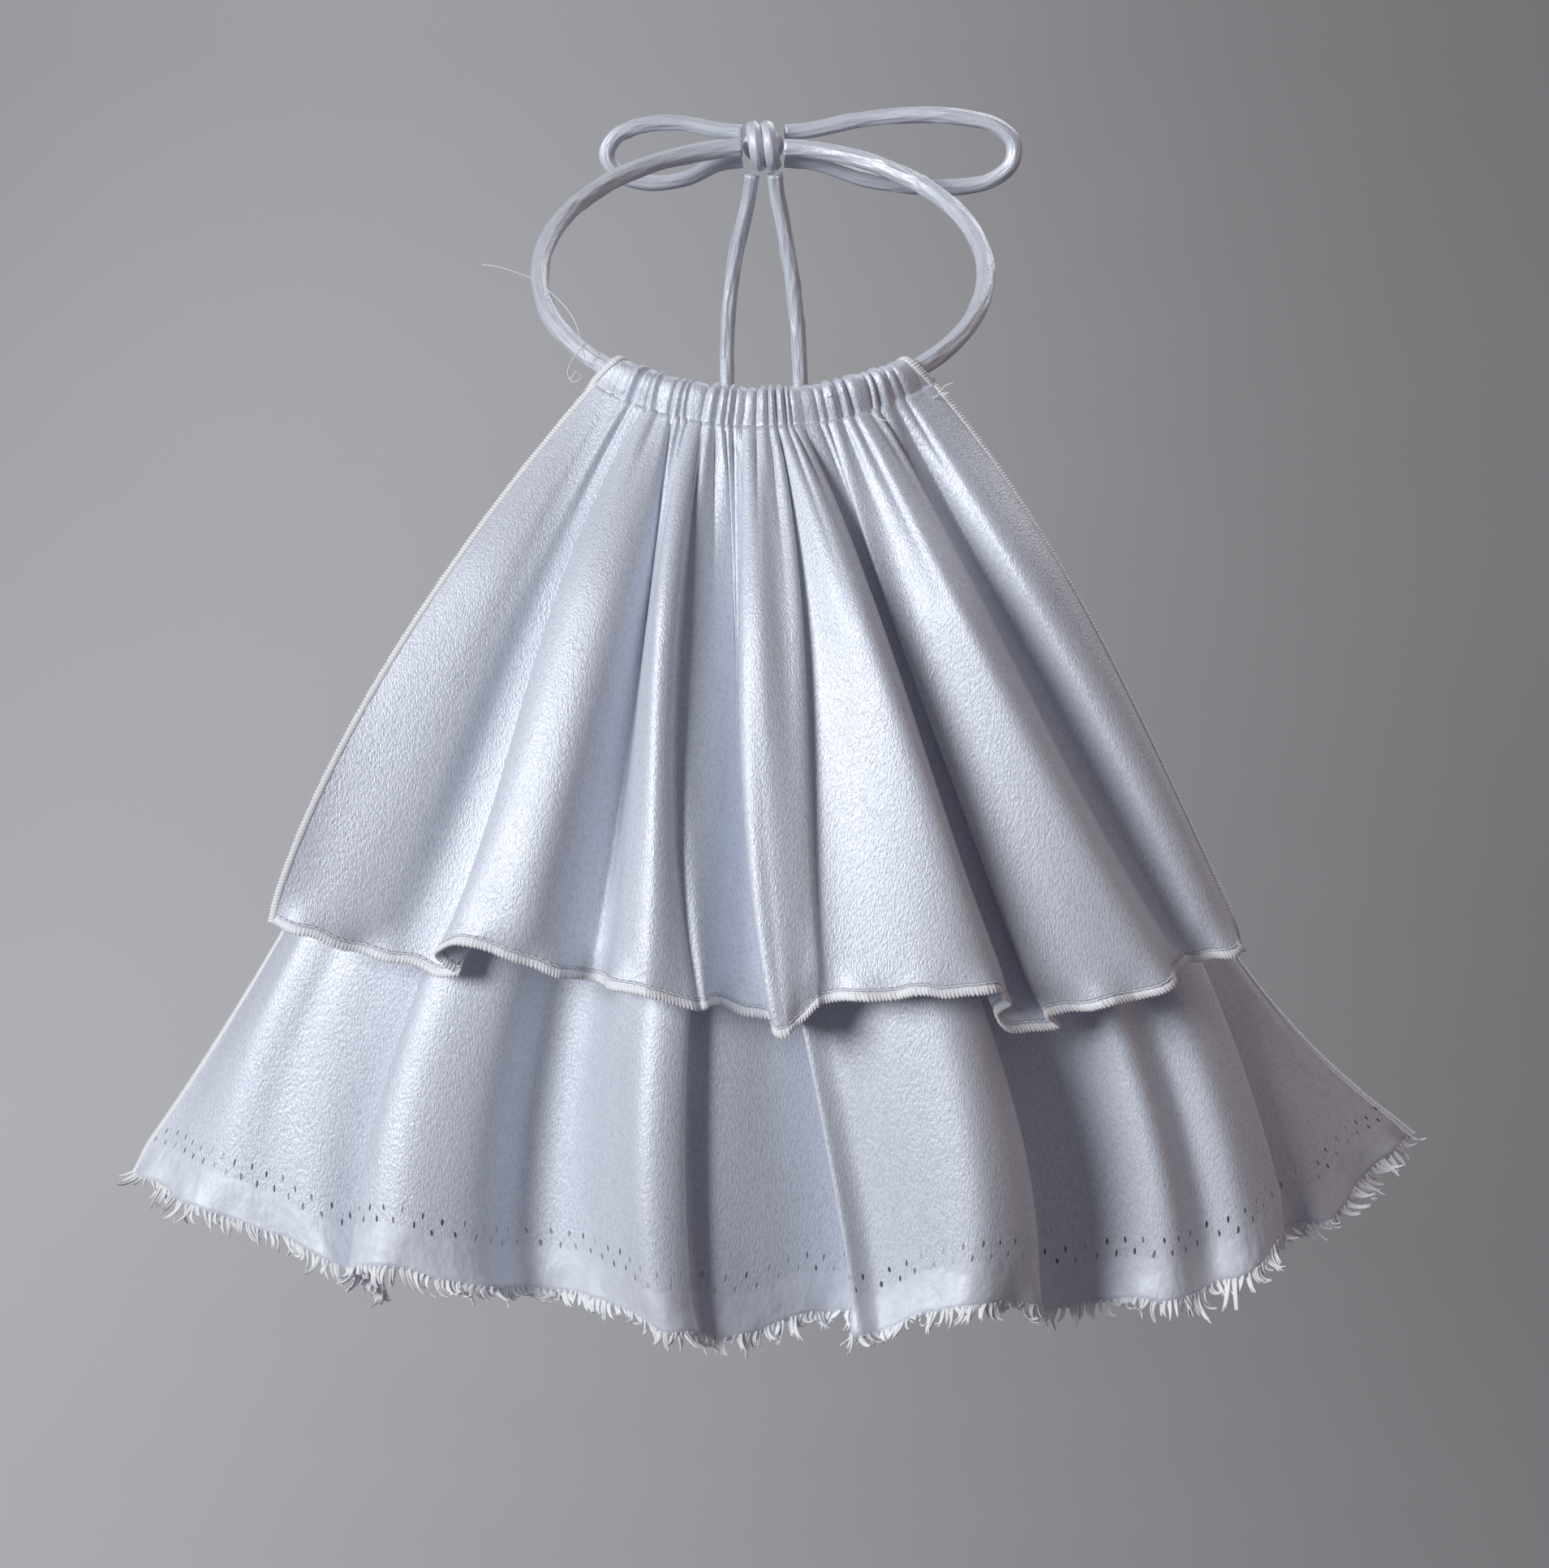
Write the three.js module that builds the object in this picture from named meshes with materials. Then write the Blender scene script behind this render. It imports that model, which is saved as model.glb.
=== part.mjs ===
// A two-tier jabot: two gathered satin tiers on one casing, hung from a round tie that goes round the neck.
// Millimetres, +Z up, +X to the wearer's left, -Y to the front. The origin is the middle of the neck ring.
import * as THREE from "three";

// The tie's ring, whose front hangs lower than its nape
const RING_HALF_WIDTH = 66;
const RING_HALF_DEPTH = 58;
const RING_DROP = 33;
const TIE_DIAMETER = 5.5;
const BOW_DIAMETER = 4.8;
const TIE_SIDES = 10;
const BOW_SIDES = 8;
const RING_STEPS = 60;
const LOOP_STEPS = 22;
const END_STEPS = 9;

// The gathered casing
const CASING_HALF_SPAN = 44.5;
const CASING_HALF_DEPTH = 4.3;
const CASING_HALF_HEIGHT = 4.6;
const CASING_BORE_RADIUS = 3.3;
const CASING_STEPS = 26;
const CASING_SIDES = 12;
const SEAM_DROP = 5.5;

// The drape: how far the cloth comes forward over the chest, and how round it lies from side to side
const DRAPE_LENGTH = 250;
const DRAPE_FORWARD = 56;
const TOP_ROUNDING = 56;
const HEM_ROUNDING = 290;

// The cloth walls
const CLOTH_THICKNESS = 1.2;
const STEPS_PER_ROW = 2;
const UPPER_STEPS_DOWN = 8;
const LOWER_STEPS_DOWN = 9;
const STAND_REACHED_AT = 0.35;
const STATIONS = [0, 0.3, 0.6, 1];

// The frayed edge
const FRINGE_LENGTH = 6;
const FRINGE_THICKNESS = 1.2;
const FRINGE_STEPS_DOWN = 1;
const FRINGE_GAP = 0.9;

// The knot at the nape
const KNOT = new THREE.Vector3(0, 62, 33);
const KNOT_RADIUS = 8;
const KNOT_FACE_RADIUS = 6.8;
const KNOT_HALF_LENGTH = 6;
const KNOT_SHOULDER = 4;
const KNOT_SIDES = 20;

// One row for each fold line of the front tier, from the wearer's right to left. x is where the line
// lies at the seam, at 0.3 and 0.6 of the drop and at the hem, z is the hem's height, and out is how far
// the fold stands out of the drape at those places. A tuck lies behind the edge beside it.
const UPPER_FOLDS = `
  line        x_seam  x_high   x_low   x_hem   z_hem  out_high  out_low  out_hem
  left_edge      -48     -84    -113    -139    -174        13       27       29
  ridge_a        -45     -77    -104    -130    -176        11       21       24
  valley_a       -41     -66     -86    -113    -182         5       10       13
  swell_a        -37     -60     -77    -100    -185         1        3        6
  tuck_b         -34     -50     -64     -84    -188        -2        0        4
  edge_b         -33     -55     -69     -90    -180         6        9       12
  crest_b        -30     -48     -62     -83    -176        10       15       15
  slope_b        -27     -38     -50     -66    -181         7       12       12
  valley_b       -25     -31     -38     -48    -187        -3       -6       -4
  ridge_c        -22     -30     -35     -40    -186         3        5        6
  crest_c        -19     -28     -30     -32    -186        10       12       13
  edge_c         -17     -23     -25     -20    -190         8        9        8
  tuck_c         -16     -22     -24     -17    -192         2        4        5
  pocket_c       -14     -18     -19     -15    -192         1        3        5
  ridge_c2       -13     -12     -12     -13    -192        -2       -2        1
  edge_c2        -11      -8      -8      -9    -194        -5       -7       -4
  valley_d        -8      -7      -6      -4    -196        -5       -9       -7
  tuck_d          -7      -4      -2       6    -199        -5       -9       -7
  edge_d          -5      -6      -5       3    -197         6        9       12
  strip_d         -2      -1       1       7    -196        10       12       15
  dip_d            1       5       8      11    -193         8       11       13
  ridge_d          3      10      12      16    -188         8       10       13
  dip_d2           5      12      16      23    -188         5        7       12
  crest_d          7      25      41      56    -185        15       20       21
  edge_d2         10      31      47      69    -190         9       13       14
  tuck_d2         12      28      44      64    -198         2        3        2
  recess          14      32      49      73    -202         0        1        1
  tuck_e          17      37      56      83    -202         0        1        1
  edge_e          19      35      53      79    -198         3        5        7
  slope_e         22      41      60      87    -196         5        8        9
  crest_e         27      53      77     112    -191        13       18       18
  edge_e2         32      59      83     118    -188         8       13       13
  tuck_e2         34      57      83     120    -188         0        1        5
  valley_f        37      63      90     124    -188        -2        0        5
  ridge_f         41      71      98     129    -186         8       10       10
  crest_f         45      78     105     134    -186         9       11       11
  right_edge      49      83     109     140    -187         3        5        6`;

// The same columns for the back tier, which is longer and wider
const LOWER_FOLDS = `
  line        x_seam  x_high   x_low   x_hem   z_hem  out_high  out_low  out_hem
  left_edge      -48     -90    -130    -190    -263         1        1        3
  ridge_a        -45     -82    -125    -163    -267         3        7       10
  valley_a       -42     -73    -116    -141    -272         1        4        6
  swell_a        -39     -64    -106    -127    -276         1        2        5
  tuck_b         -36     -55     -88    -110    -286        -2       -3       -3
  edge_b         -34     -59     -91    -118    -276         3        6       10
  crest_b        -32     -54     -84    -104    -273         5        9       15
  slope_b        -28     -44     -67     -81    -279         3        3        4
  valley_b       -25     -37     -57     -69    -284        -2      -10      -13
  slope_c        -22     -32     -46     -55    -285        -2      -10      -13
  ridge_c        -19     -27     -38     -40    -284         2        1       -1
  crest_c        -16     -20     -30     -29    -285         3        9       12
  edge_c         -13     -14     -20     -20    -287         2        7        9
  tuck_c         -11     -15     -20     -18    -289        -1       -1        1
  recess_c        -9     -11     -11     -10    -292        -3       -2        0
  swell_c         -6      -7       3       8    -288        -3       -6       -7
  tuck_d          -2       0      17      34    -288        -4       -9      -11
  edge_d           0      -3       9      27    -289         1        3        5
  strip_d          3       3      17      34    -288         3        4        4
  crest_d          7      11      32      47    -279         5       13       16
  front_d         10      22      47      61    -274         6       18       24
  edge_d2         14      29      57      77    -280         5       12       13
  tuck_d2         16      27      54      73    -287        -3       -6       -6
  recess_d        20      35      66      87    -290        -4       -7       -8
  slope_e         24      46      79     100    -288        -2       -4       -3
  ridge_e         29      58      92     117    -285         2        7        9
  dip_e           33      66     101     129    -284         1        4        6
  crest_e         37      74     111     141    -280         3        9       12
  edge_e2         40      80     118     153    -271         2        5        8
  tuck_e2         43      78     116     149    -273        -1        0       -1
  valley_f        45      82     119     168    -274         0        0       -1
  panel_f         47      85     121     184    -263         0       -1       -3
  right_edge      49      87     120     198    -257        -1       -4       -6`;

// The tie round the neck, from the knot's right side by the front to its left side
const RING_ROUTE = [
  [-6.6, 57.6, 32.7], [-12, 57.1, 32.4], [-22, 54.7, 31.1], [-33, 50.2, 28.6], [-46.7, 41, 23.3],
  [-57.2, 29, 16.5], [-63.8, 15, 8.5], [-66, 0, 0], [-63.8, -15, -8.5], [-57.2, -29, -16.5],
  [-46.7, -41, -23.3], [-33, -50.2, -28.6], [-17.1, -56, -31.9], [0, -58, -33], [17.1, -56, -31.9],
  [33, -50.2, -28.6], [46.7, -41, -23.3], [57.2, -29, -16.5], [63.8, -15, -8.5], [66, 0, 0],
  [63.8, 15, 8.5], [57.2, 29, 16.5], [46.7, 41, 23.3], [33, 50.2, 28.6], [22, 54.7, 31.1],
  [12, 57.1, 32.4], [6.6, 57.6, 32.7],
];

// The bow's two loops and two ends, each from the knot outwards
const LOOP_RIGHT_ROUTE = [
  [6.7, 65, 37], [14, 65.8, 37.6], [32, 67, 41], [50, 66, 42.4], [62.8, 64.5, 41.4], [72, 63.5, 39.2],
  [77.6, 63, 34.4], [77.4, 62.6, 28], [71.4, 62.6, 22.6], [62, 63, 20.4], [48, 64.2, 20.4], [32, 65.4, 22.6],
  [16, 65.4, 27.6], [6.7, 65, 28.6],
];
const LOOP_LEFT_ROUTE = [
  [-6.7, 65, 37], [-14, 65.8, 37.6], [-27, 66.8, 39.8], [-38, 66.2, 39], [-46, 65.2, 35.6],
  [-48.8, 64.6, 30], [-45.4, 64.2, 24.4], [-36, 64.4, 21.4], [-24, 65.2, 22.8], [-14, 65.4, 27.4],
  [-6.7, 65, 28.6],
];
const END_RIGHT_ROUTE = [
  [3.6, 63.4, 24.4], [4.4, 65.6, 17.4], [6.4, 67.6, 7], [8.6, 68.6, -6], [10.4, 68.4, -20],
  [11.4, 67.8, -35], [11.6, 67.2, -50], [11, 66.8, -62],
];
const END_LEFT_ROUTE = [
  [-3.6, 63.4, 24.4], [-4.8, 66, 16.6], [-7.4, 68.2, 5], [-10, 69.2, -9], [-11.4, 69, -25],
  [-11.6, 68.2, -42], [-11, 67.4, -60], [-10.2, 67, -78],
];

// Materials
const satin = new THREE.MeshStandardMaterial({ color: 0xe9edf4, roughness: 0.42, metalness: 0 });
const cord = new THREE.MeshStandardMaterial({ color: 0xe6eaf2, roughness: 0.5, metalness: 0 });
const frayed = new THREE.MeshStandardMaterial({ color: 0xf1f3f7, roughness: 0.85, metalness: 0 });

// A table's rows as objects, one value to each named column
function readTable(text) {
  const [header, ...lines] = text.trim().split("\n").map((line) => line.trim().split(/\s+/));
  return lines.map((cells) =>
    Object.fromEntries(cells.map((cell, column) => [header[column], column ? Number(cell) : cell])),
  );
}

// The one cubic through four values at the stations down the drop
function downDrop(values, v) {
  return values.reduce((sum, value, i) => {
    const weight = STATIONS.reduce(
      (product, station, j) => (j === i ? product : (product * (v - station)) / (STATIONS[i] - station)),
      1,
    );
    return sum + value * weight;
  }, 0);
}

// A smooth curve through the rows' values, with the rows at whole numbers of t
function acrossRows(values, t) {
  const last = values.length - 1;
  const row = Math.min(Math.floor(t), last - 1);
  const u = t - row;
  const [a, b, c, d] = [-1, 0, 1, 2].map((k) => values[THREE.MathUtils.clamp(row + k, 0, last)]);
  return b + 0.5 * u * (c - a + u * (2 * a - 5 * b + 4 * c - d + u * (3 * (b - c) + d - a)));
}

// The ring's front, and the seam under the casing
const ringY = (x) => -RING_HALF_DEPTH * Math.sqrt(Math.max(0, 1 - (x / RING_HALF_WIDTH) ** 2));
const seamZ = (x) => (ringY(x) / RING_HALF_DEPTH) * RING_DROP - SEAM_DROP;

// How far forward the drape lies at a place
function drapeY(x, z) {
  const fallen = THREE.MathUtils.clamp((-RING_DROP - SEAM_DROP - z) / DRAPE_LENGTH, -0.12, 1);
  const forward = -RING_HALF_DEPTH - DRAPE_FORWARD * Math.sin((Math.PI / 2) * fallen);
  const share = (fallen + 0.12) / 1.12;
  const rounding = TOP_ROUNDING + (HEM_ROUNDING - TOP_ROUNDING) * share ** 0.8;
  return forward + (x * x) / (2 * rounding);
}

// A tier is its rows of fold lines and how far it stands off the drape at its seam and below it
class Tier {
  constructor(table, seamStand, stand) {
    this.rows = readTable(table);
    this.last = this.rows.length - 1;
    this.seamStand = seamStand;
    this.stand = stand;
  }

  // The point on the cloth at t rows across and v of the drop down
  at(t, v) {
    const x = acrossRows(this.rows.map((r) => downDrop([r.x_seam, r.x_high, r.x_low, r.x_hem], v)), t);
    const z = acrossRows(this.rows.map((r) => THREE.MathUtils.lerp(seamZ(r.x_seam), r.z_hem, v)), t);
    const out = acrossRows(this.rows.map((r) => downDrop([0, r.out_high, r.out_low, r.out_hem], v)), t);
    const rise = THREE.MathUtils.smoothstep(v, 0, STAND_REACHED_AT);
    const stand = THREE.MathUtils.lerp(this.seamStand, this.stand, rise);
    return new THREE.Vector3(x, drapeY(x, z) - stand - out, z);
  }
}

// A closed wall of the given thickness about a sheet of points, columns across and rows down
function wall(columns, rows, pointAt, thickness) {
  const sheet = [];
  for (let i = 0; i <= columns; i++) {
    for (let j = 0; j <= rows; j++) sheet.push(pointAt(i / columns, j / rows));
  }
  const index = (i, j) => i * (rows + 1) + j;
  const clampTo = (value, top) => THREE.MathUtils.clamp(value, 0, top);
  const front = [];
  const back = [];
  for (let i = 0; i <= columns; i++) {
    for (let j = 0; j <= rows; j++) {
      const across = sheet[index(clampTo(i + 1, columns), j)].clone();
      across.sub(sheet[index(clampTo(i - 1, columns), j)]);
      const down = sheet[index(i, clampTo(j + 1, rows))].clone();
      down.sub(sheet[index(i, clampTo(j - 1, rows))]);
      const normal = down.cross(across).normalize();
      const half = normal.multiplyScalar(thickness / 2);
      front.push(sheet[index(i, j)].clone().add(half));
      back.push(sheet[index(i, j)].clone().sub(half));
    }
  }
  const shift = sheet.length;
  const faces = [];
  const quad = (a, b, c, d) => faces.push(a, b, c, a, c, d);
  for (let i = 0; i < columns; i++) {
    for (let j = 0; j < rows; j++) {
      const [a, b, c, d] = [index(i, j), index(i, j + 1), index(i + 1, j + 1), index(i + 1, j)];
      quad(a, b, c, d);
      quad(shift + a, shift + d, shift + c, shift + b);
    }
  }
  for (let i = 0; i < columns; i++) {
    quad(index(i, 0), index(i + 1, 0), shift + index(i + 1, 0), shift + index(i, 0));
    quad(index(i + 1, rows), index(i, rows), shift + index(i, rows), shift + index(i + 1, rows));
  }
  for (let j = 0; j < rows; j++) {
    quad(index(0, j + 1), index(0, j), shift + index(0, j), shift + index(0, j + 1));
    quad(index(columns, j), index(columns, j + 1), shift + index(columns, j + 1), shift + index(columns, j));
  }
  return solidGeometry([...front, ...back], faces);
}

function solidGeometry(points, faces) {
  const geometry = new THREE.BufferGeometry().setFromPoints(points);
  geometry.setIndex(faces);
  geometry.computeVertexNormals();
  return geometry;
}

// A tier's cloth
function tierWall(tier, stepsDown) {
  const columns = tier.last * STEPS_PER_ROW;
  return wall(columns, stepsDown, (u, v) => tier.at(u * tier.last, v), CLOTH_THICKNESS);
}

// The fringe's outer form, which goes on from the hem in the way that the cloth falls there
function fringeWall(tier) {
  const columns = tier.last * STEPS_PER_ROW;
  const stepBack = 0.04;
  const pointAt = (u, v) => {
    const hem = tier.at(u * tier.last, 1);
    const fall = hem.clone().sub(tier.at(u * tier.last, 1 - stepBack)).normalize();
    return hem.addScaledVector(fall, FRINGE_GAP + v * FRINGE_LENGTH);
  };
  return wall(columns, FRINGE_STEPS_DOWN, pointAt, FRINGE_THICKNESS);
}

// The casing: an oval channel round the tie, open at both ends
function casingShell() {
  const endAngle = Math.asin(CASING_HALF_SPAN / RING_HALF_WIDTH);
  const rings = { outer: [], bore: [] };
  for (let step = 0; step <= CASING_STEPS; step++) {
    const angle = THREE.MathUtils.lerp(-endAngle, endAngle, step / CASING_STEPS);
    const [sin, cos] = [Math.sin(angle), Math.cos(angle)];
    const centre = new THREE.Vector3(RING_HALF_WIDTH * sin, -RING_HALF_DEPTH * cos, -RING_DROP * cos);
    const along = new THREE.Vector3(RING_HALF_WIDTH * cos, RING_HALF_DEPTH * sin, RING_DROP * sin).normalize();
    const out = new THREE.Vector3(along.y, -along.x, 0).normalize();
    const up = out.clone().cross(along).normalize();
    const section = (a, b) =>
      Array.from({ length: CASING_SIDES }, (_, k) => {
        const turn = (2 * Math.PI * k) / CASING_SIDES;
        return centre.clone().addScaledVector(out, a * Math.cos(turn)).addScaledVector(up, b * Math.sin(turn));
      });
    rings.outer.push(section(CASING_HALF_DEPTH, CASING_HALF_HEIGHT));
    rings.bore.push(section(CASING_BORE_RADIUS, CASING_BORE_RADIUS));
  }
  const loop = [...rings.outer, ...rings.bore.reverse()];
  const faces = [];
  for (let r = 0; r < loop.length; r++) {
    const next = (r + 1) % loop.length;
    for (let k = 0; k < CASING_SIDES; k++) {
      const side = (k + 1) % CASING_SIDES;
      const [a, b] = [r * CASING_SIDES + k, r * CASING_SIDES + side];
      const [c, d] = [next * CASING_SIDES + side, next * CASING_SIDES + k];
      faces.push(a, c, b, a, d, c);
    }
  }
  return solidGeometry(loop.flat(), faces);
}

// A round tube along a route
function tube(route, diameter, sides, steps) {
  const outline = Array.from({ length: sides }, (_, k) => {
    const turn = (2 * Math.PI * k) / sides;
    return new THREE.Vector2((diameter / 2) * Math.cos(turn), (diameter / 2) * Math.sin(turn));
  });
  const path = new THREE.CatmullRomCurve3(route.map((point) => new THREE.Vector3(...point)));
  return new THREE.ExtrudeGeometry(new THREE.Shape(outline), { steps, extrudePath: path });
}

// The knot: a barrel across the nape, with a flat face for the cords at each end
function knotBarrel() {
  const profile = [
    [0, -KNOT_HALF_LENGTH], [KNOT_FACE_RADIUS, -KNOT_HALF_LENGTH], [KNOT_RADIUS, -KNOT_SHOULDER],
    [KNOT_RADIUS, KNOT_SHOULDER], [KNOT_FACE_RADIUS, KNOT_HALF_LENGTH], [0, KNOT_HALF_LENGTH],
  ].map(([radius, height]) => new THREE.Vector2(radius, height));
  return new THREE.LatheGeometry(profile, KNOT_SIDES);
}

const jabot = new THREE.Group();

function add(name, geometry, material) {
  const mesh = new THREE.Mesh(geometry, material);
  mesh.name = name;
  jabot.add(mesh);
  return mesh;
}

const upperTier = new Tier(UPPER_FOLDS, 1.8, 13);
const lowerTier = new Tier(LOWER_FOLDS, -0.6, 0);

add("gathered_casing", casingShell(), satin);
add("upper_tier", tierWall(upperTier, UPPER_STEPS_DOWN), satin);
add("lower_tier", tierWall(lowerTier, LOWER_STEPS_DOWN), satin);
add("frayed_hem", fringeWall(lowerTier), frayed);
add("neck_tie", tube(RING_ROUTE, TIE_DIAMETER, TIE_SIDES, RING_STEPS), cord);
add("bow_loop_right", tube(LOOP_RIGHT_ROUTE, BOW_DIAMETER, BOW_SIDES, LOOP_STEPS), cord);
add("bow_loop_left", tube(LOOP_LEFT_ROUTE, BOW_DIAMETER, BOW_SIDES, LOOP_STEPS), cord);
add("tie_end_right", tube(END_RIGHT_ROUTE, BOW_DIAMETER, BOW_SIDES, END_STEPS), cord);
add("tie_end_left", tube(END_LEFT_ROUTE, BOW_DIAMETER, BOW_SIDES, END_STEPS), cord);
const knot = add("bow_knot", knotBarrel(), cord);
knot.rotation.z = Math.PI / 2;
knot.position.copy(KNOT);

export default jabot;
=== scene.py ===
import math
import random

import bmesh
import bpy
import numpy as np
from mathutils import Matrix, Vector


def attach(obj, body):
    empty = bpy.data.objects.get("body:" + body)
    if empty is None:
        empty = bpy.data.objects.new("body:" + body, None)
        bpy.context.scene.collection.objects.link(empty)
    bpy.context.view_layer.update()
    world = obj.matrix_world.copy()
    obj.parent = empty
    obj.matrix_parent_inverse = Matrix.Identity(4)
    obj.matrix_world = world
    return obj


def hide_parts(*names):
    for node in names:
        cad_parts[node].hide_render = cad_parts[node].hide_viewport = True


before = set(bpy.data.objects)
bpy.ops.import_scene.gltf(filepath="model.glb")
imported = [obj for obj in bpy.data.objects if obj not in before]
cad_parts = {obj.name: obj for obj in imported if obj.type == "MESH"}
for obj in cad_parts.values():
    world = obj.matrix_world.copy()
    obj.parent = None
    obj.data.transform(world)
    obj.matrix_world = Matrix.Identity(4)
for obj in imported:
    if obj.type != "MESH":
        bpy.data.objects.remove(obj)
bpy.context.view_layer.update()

# Everything is in metres, in the frame of the part: +Z up, +X to the wearer's left, -Y to the front.
# The tables and routes are in millimetres, as the part's are.
MM = 0.001

# The photograph's camera
CAMERA_TARGET = Vector((3.5, -90, -135.5)) * MM
CAMERA_DISTANCE = 1.0
CAMERA_ELEVATION = math.radians(13)
CAMERA_FOCAL_PIXELS = 4400
FRAME_HEIGHT_PIXELS = 1932
SENSOR = 36

# The tie's ring, whose front hangs lower than its nape
RING_HALF_WIDTH = 66
RING_HALF_DEPTH = 58
RING_DROP = 33
TIE_DIAMETER = 5.5
BOW_DIAMETER = 4.8
SEAM_DROP = 5.5

# The drape: how far the cloth comes forward over the chest, and how round it lies from side to side
DRAPE_LENGTH = 250
DRAPE_FORWARD = 56
TOP_ROUNDING = 56
HEM_ROUNDING = 290
ROUNDING_POWER = 0.8
HEADROOM = 0.12
STAND_REACHED_AT = 0.35
STATIONS = (0, 0.3, 0.6, 1)

# The cloth
CLOTH_THICKNESS = 0.45
COLUMNS_PER_FOLD_LINE = 9
ROWS_DOWN = 120

# One row for each fold line of the front tier, from the wearer's right to left. x is where the line
# lies at the seam, at 0.3 and 0.6 of the drop and at the hem, z is the hem's height, and out is how far
# the fold stands out of the drape at those places. A tuck lies behind the edge beside it.
UPPER_FOLDS = """
  line       x_seam x_high x_low x_hem z_hem out_high out_low out_hem
  left_edge     -48    -84  -113  -139  -174       13      27      29
  ridge_a       -45    -77  -104  -130  -176       11      21      24
  valley_a      -41    -66   -86  -113  -182        5      10      13
  swell_a       -37    -60   -77  -100  -185        1       3       6
  tuck_b        -34    -50   -64   -84  -188       -2       0       4
  edge_b        -33    -55   -69   -90  -180        6       9      12
  crest_b       -30    -48   -62   -83  -176       10      15      15
  slope_b       -27    -38   -50   -66  -181        7      12      12
  valley_b      -25    -31   -38   -48  -187       -3      -6      -4
  ridge_c       -22    -30   -35   -40  -186        3       5       6
  crest_c       -19    -28   -30   -32  -186       10      12      13
  edge_c        -17    -23   -25   -20  -190        8       9       8
  tuck_c        -16    -22   -24   -17  -192        2       4       5
  pocket_c      -14    -18   -19   -15  -192        1       3       5
  ridge_c2      -13    -12   -12   -13  -192       -2      -2       1
  edge_c2       -11     -8    -8    -9  -194       -5      -7      -4
  valley_d       -8     -7    -6    -4  -196       -5      -9      -7
  tuck_d         -7     -4    -2     6  -199       -5      -9      -7
  edge_d         -5     -6    -5     3  -197        6       9      12
  strip_d        -2     -1     1     7  -196       10      12      15
  dip_d           1      5     8    11  -193        8      11      13
  ridge_d         3     10    12    16  -188        8      10      13
  dip_d2          5     12    16    23  -188        5       7      12
  crest_d         7     25    41    56  -185       15      20      21
  edge_d2        10     31    47    69  -190        9      13      14
  tuck_d2        12     28    44    64  -198        2       3       2
  recess         14     32    49    73  -202        0       1       1
  tuck_e         17     37    56    83  -202        0       1       1
  edge_e         19     35    53    79  -198        3       5       7
  slope_e        22     41    60    87  -196        5       8       9
  crest_e        27     53    77   112  -191       13      18      18
  edge_e2        32     59    83   118  -188        8      13      13
  tuck_e2        34     57    83   120  -188        0       1       5
  valley_f       37     63    90   124  -188       -2       0       5
  ridge_f        41     71    98   129  -186        8      10      10
  crest_f        45     78   105   134  -186        9      11      11
  right_edge     49     83   109   140  -187        3       5       6
"""

# The same columns for the back tier, which is longer and wider
LOWER_FOLDS = """
  line       x_seam x_high x_low x_hem z_hem out_high out_low out_hem
  left_edge     -48    -90  -130  -190  -263        1       1       3
  ridge_a       -45    -82  -125  -163  -267        3       7      10
  valley_a      -42    -73  -116  -141  -272        1       4       6
  swell_a       -39    -64  -106  -127  -276        1       2       5
  tuck_b        -36    -55   -88  -110  -286       -2      -3      -3
  edge_b        -34    -59   -91  -118  -276        3       6      10
  crest_b       -32    -54   -84  -104  -273        5       9      15
  slope_b       -28    -44   -67   -81  -279        3       3       4
  valley_b      -25    -37   -57   -69  -284       -2     -10     -13
  slope_c       -22    -32   -46   -55  -285       -2     -10     -13
  ridge_c       -19    -27   -38   -40  -284        2       1      -1
  crest_c       -16    -20   -30   -29  -285        3       9      12
  edge_c        -13    -14   -20   -20  -287        2       7       9
  tuck_c        -11    -15   -20   -18  -289       -1      -1       1
  recess_c       -9    -11   -11   -10  -292       -3      -2       0
  swell_c        -6     -7     3     8  -288       -3      -6      -7
  tuck_d         -2      0    17    34  -288       -4      -9     -11
  edge_d          0     -3     9    27  -289        1       3       5
  strip_d         3      3    17    34  -288        3       4       4
  crest_d         7     11    32    47  -279        5      13      16
  front_d        10     22    47    61  -274        6      18      24
  edge_d2        14     29    57    77  -280        5      12      13
  tuck_d2        16     27    54    73  -287       -3      -6      -6
  recess_d       20     35    66    87  -290       -4      -7      -8
  slope_e        24     46    79   100  -288       -2      -4      -3
  ridge_e        29     58    92   117  -285        2       7       9
  dip_e          33     66   101   129  -284        1       4       6
  crest_e        37     74   111   141  -280        3       9      12
  edge_e2        40     80   118   153  -271        2       5       8
  tuck_e2        43     78   116   149  -273       -1       0      -1
  valley_f       45     82   119   168  -274        0       0      -1
  panel_f        47     85   121   184  -263        0      -1      -3
  right_edge     49     87   120   198  -257       -1      -4      -6
"""

# The tie round the neck, from the knot's right side by the front to its left side
RING_ROUTE = (
    (-6.6, 57.6, 32.7), (-12, 57.1, 32.4), (-22, 54.7, 31.1), (-33, 50.2, 28.6), (-46.7, 41, 23.3),
    (-57.2, 29, 16.5), (-63.8, 15, 8.5), (-66, 0, 0), (-63.8, -15, -8.5), (-57.2, -29, -16.5),
    (-46.7, -41, -23.3), (-33, -50.2, -28.6), (-17.1, -56, -31.9), (0, -58, -33), (17.1, -56, -31.9),
    (33, -50.2, -28.6), (46.7, -41, -23.3), (57.2, -29, -16.5), (63.8, -15, -8.5), (66, 0, 0),
    (63.8, 15, 8.5), (57.2, 29, 16.5), (46.7, 41, 23.3), (33, 50.2, 28.6), (22, 54.7, 31.1),
    (12, 57.1, 32.4), (6.6, 57.6, 32.7),
)

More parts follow.
